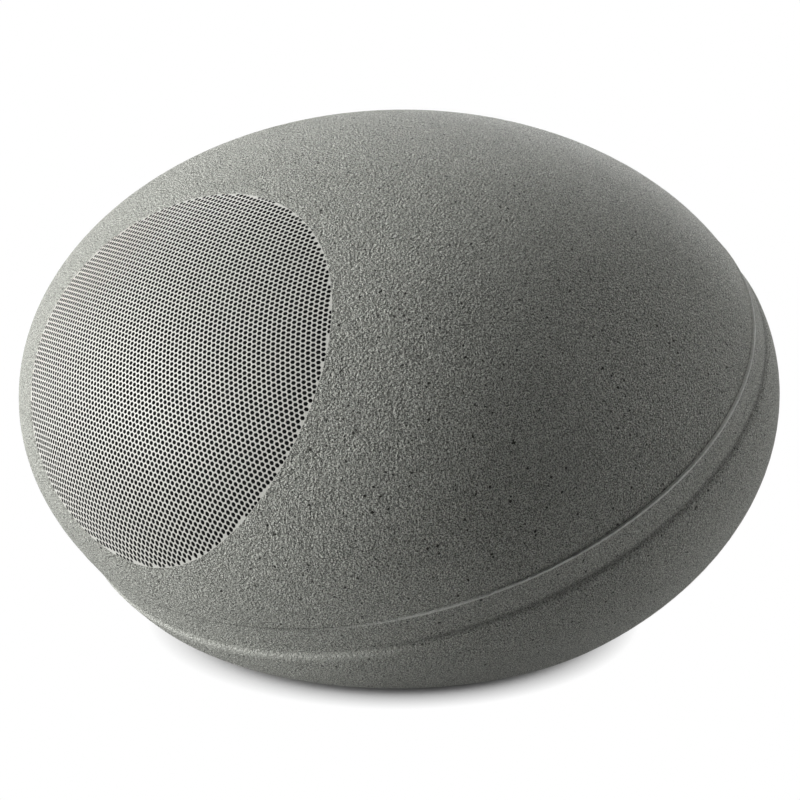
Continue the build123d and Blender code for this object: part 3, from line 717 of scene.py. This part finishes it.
def turned(outline, first=0.0, sweep=FULL_TURN, sides=ROLL_SIDES):
    """A closed outline of (radius, out) points turned about the driver's axis."""
    whole = sweep == FULL_TURN
    steps = sides if whole else sides + 1
    turn = first + np.arange(steps) * (sweep / sides)
    rows = [driver_point(r * np.cos(turn), r * np.sin(turn), np.full(steps, out)) for r, out in outline]
    faces = ring_faces(len(rows), steps, sides)
    if not whole:
        for end in (0, sides):
            faces.append([row * steps + end for row in range(len(rows))])
    return np.concatenate(rows), faces


def arc(middle, base, radius, first, last, points):
    """Points of an arc in an outline, from one angle to another."""
    angles = np.linspace(first, last, points)
    return [(middle + radius * math.cos(a), base + radius * math.sin(a)) for a in angles]


print("a ring has", ROLL_SIDES, "sides")

# %% [markdown]
# ## Rolled edges
# The cone and the tweeter's dome hang in rubber rolls, which bend as the cone travels. A roll is made here as
# three closed rings.

# %% Rolled edges
LEG_POINTS = 12
CROWN_POINTS = 24
LEG_SHARE = 0.85
FAR = 5


def on_axis(out):
    return Vector(SEAT_MIDDLE + DRIVER_OUT * out)


def roll_leg(middle, base, radius, wall, cut, edge):
    """The outer leg of a roll: its flat, if it has one, and the roll up to the cut."""
    flat = [(edge, base), (edge, base + wall)] if edge else []
    foot = math.asin(wall / radius) if edge else 0
    thin = radius - wall
    outside = arc(middle, base, radius, foot, math.asin(cut / radius), LEG_POINTS)
    return flat + outside + arc(middle, base, thin, math.asin(cut / thin), 0, LEG_POINTS)


def roll_crown(middle, base, radius, wall, cut):
    """The top of a roll, from the cut on one side to the cut on the other."""
    thin = radius - wall
    outer = math.asin(cut / radius)
    inner = math.asin(cut / thin)
    over = arc(middle, base, radius, outer, math.pi - outer, CROWN_POINTS)
    return over + arc(middle, base, thin, math.pi - inner, inner, CROWN_POINTS)


def mirror(outline, middle):
    return [(2 * middle - r, out) for r, out in outline]


def rolled_edge(node, moving, middle, base, radius, wall, outer_edge, inner_edge):
    """Three rings in the place of a node, between the cabinet and a body that moves."""
    cut = LEG_SHARE * (radius - wall)
    inner = roll_leg(middle, base, radius, wall, cut, 2 * middle - inner_edge if inner_edge else None)
    outlines = {
        "outer_leg": roll_leg(middle, base, radius, wall, cut, outer_edge),
        "crown": roll_crown(middle, base, radius, wall, cut),
        "inner_leg": mirror(inner, middle),
    }
    bends = {
        "outer_leg": ("cabinet", moving, base + wall, base + 2 * cut - wall),
        "crown": ("cabinet", moving, base + cut - FAR, base + cut + FAR),
        "inner_leg": (moving, "cabinet", base + wall, base + 2 * cut - wall),
    }
    for part, outline in outlines.items():
        points, faces = turned(outline)
        ring = new_piece(f"{node}_{part}", points, faces, "black_rubber", smooth=True)
        first, second, start, end = bends[part]
        on_axis(start)
        on_axis(end)
        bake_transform(ring)
        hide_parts(node)
    print(node, "bends over", round(cut / MM, 2), "mm of height")


rolled_edge(
    "surround", "cone_assembly",
    middle=72.5 * MM, base=4.5 * MM, radius=6 * MM, wall=1 * MM, outer_edge=84.2 * MM, inner_edge=62 * MM,
)
rolled_edge(
    "tweeter_surround", "tweeter_diaphragm",
    middle=13.85 * MM, base=3.1 * MM, radius=1.45 * MM, wall=0.5 * MM, outer_edge=16.85 * MM, inner_edge=None,
)

# %% [markdown]
# ## Spider
# The spider is a disc of stiffened cloth pressed into rings of waves. It is fixed to the frame outside and to
# the voice coil's former inside. The disc is cut in sectors.

# %% Spider
SPIDER_SECTORS = 12
SECTOR_SIDES = 10
SPIDER_INNER = 19.6 * MM
SPIDER_SHELF = 46 * MM
SPIDER_OUTER = 52.7 * MM
SPIDER_TOP = -25.2 * MM
SPIDER_THICKNESS = 0.8 * MM
SPIDER_WAVES = 4
SPIDER_WAVE = 2.4 * MM


def spider_outline():
    """The waves from the former to the shelf, a flat on the shelf, and the same again underneath."""
    folds = 2 * SPIDER_WAVES
    step = (SPIDER_SHELF - SPIDER_INNER) / folds
    upper = [(SPIDER_INNER + k * step, SPIDER_TOP - SPIDER_WAVE * (k % 2)) for k in range(folds + 1)]
    upper.append((SPIDER_OUTER, SPIDER_TOP))
    return upper + [(r, out - SPIDER_THICKNESS) for r, out in reversed(upper)]


half_sector = math.pi / SPIDER_SECTORS
for k in range(SPIDER_SECTORS):
    way = 2 * half_sector * k
    points, faces = turned(spider_outline(), way - half_sector, 2 * half_sector, SECTOR_SIDES)
    sector = new_piece(f"spider_sector_{k + 1:02d}", points, faces, "black_cloth")
    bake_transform(sector)
    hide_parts("spider")
print("spider:", SPIDER_SECTORS, "sectors with", SPIDER_WAVES, "waves")

# %% [markdown]
# ## Lights
# Six large soft lamps stand around the speaker at one distance. Two keys on the left of the front make the
# grille bright and let the stone fall into shade towards the right. Three rims behind draw a pale edge, and a
# weak lamp above fills the top. At level 1, a lamp lights a white surface to white.

# %% Lights
LIGHT_DISTANCE = 2.2
LAMP_SIZE = 1.0
PLAIN_LEVEL = math.pi**2 * LIGHT_DISTANCE**2
# Name, azimuth and elevation in degrees, and level
LAMPS = (
    ("key_low", 327.5, 5, 0.77),
    ("key_high", 315, 25, 0.64),
    ("rim_right", 150, 6, 0.28),
    ("rim_back", 210, 10, 0.24),
    ("rim_left", 240, 35, 0.23),
    ("top", 0, 82, 0.19),
)


def soft_light(name, azimuth, elevation, level):
    """A square lamp that faces the speaker."""
    away = direction(math.radians(azimuth), math.radians(elevation))
    lamp = bpy.data.lights.new(name, "AREA")
    lamp.size = LAMP_SIZE
    lamp.energy = level * PLAIN_LEVEL
    lit = bpy.data.objects.new(name, lamp)
    lit.location = Vector(SHELL_MIDDLE) + away * LIGHT_DISTANCE
    lit.rotation_mode = "QUATERNION"
    lit.rotation_quaternion = away.to_track_quat("Z", "Y")
    bpy.context.scene.collection.objects.link(lit)


for lamp in LAMPS:
    soft_light(*lamp)
print("lamps:", [lamp[0] for lamp in LAMPS])

# %% [markdown]
# ## Floor and background
# The background is white for the camera, in reflections and through glass, but gives hardly any light, so the
# lamps alone shape the stone. The floor is pale paper. Ambient occlusion finds where the bowl is near: there
# the camera sees the lit paper with its shadow, and everywhere else plain white like the background.

# %% Floor and background
FLOOR_HALF = 6.0
FLOOR_CORNERS = ((-1, -1), (1, -1), (1, 1), (-1, 1))
PAPER = (0.56, 0.56, 0.56, 1)
WHITE = (1, 1, 1, 1)
DIM_LEVEL = 0.01
WHITE_LEVEL = 1.0
CONTACT = 12 * MM
SHADE_FROM = 0.12
SHADE_TO = 0.85
SHADE_CURVE = 0.4
SHADE_SAMPLES = 16


class Stage(Finish):
    """A node tree that ends in a mix of two shaders."""

    def __init__(self, tree, ending):
        self.tree = tree
        self.end = tree.nodes[ending].inputs["Surface"]

    def seen(self):
        """1 for rays from the camera, from a gloss or through a glass."""
        path = self.node("LightPath")
        seen = path + path.other("Is Glossy Ray") + path.other("Is Transmission Ray")
        return self.node("Math", {"operation": "MINIMUM"}, {0: seen, 1: 1})

    def close(self, factor, first, second):
        self.feed(self.end, self.node("MixShader", {}, {0: factor, 1: first, 2: second}))


world = bpy.data.worlds.new("studio")
bpy.context.scene.world = world
world.use_nodes = True
sky = Stage(world.node_tree, "World Output")
dim = sky.node("Background", {}, {"Color": WHITE, "Strength": DIM_LEVEL})
sky.close(sky.seen(), dim, sky.node("Background", {}, {"Color": WHITE, "Strength": WHITE_LEVEL}))

floor_mesh = bpy.data.meshes.new("floor")
floor_mesh.from_pydata([(x * FLOOR_HALF, y * FLOOR_HALF, 0) for x, y in FLOOR_CORNERS], [], [(0, 1, 2, 3)])
floor = bpy.data.objects.new("floor", floor_mesh)
bpy.context.scene.collection.objects.link(floor)
paper = bpy.data.materials.new("paper")
paper.use_nodes = True
ground = Stage(paper.node_tree, "Material Output")
near = ground.node("AmbientOcclusion", {"samples": SHADE_SAMPLES}, {"Distance": CONTACT}, out="AO")
away = ground.between(near, SHADE_FROM, SHADE_TO) ** SHADE_CURVE
matte = ground.node("BsdfDiffuse", {}, {"Color": PAPER})
plain = ground.node("Emission", {}, {"Color": WHITE, "Strength": WHITE_LEVEL})
ground.close(ground.seen() * away, matte, plain)
floor_mesh.materials.append(paper)
bpy.context.scene.view_settings.view_transform = "Standard"
print("floor", 2 * FLOOR_HALF, "m across, with a shadow up to", round(CONTACT / MM), "mm from the bowl")
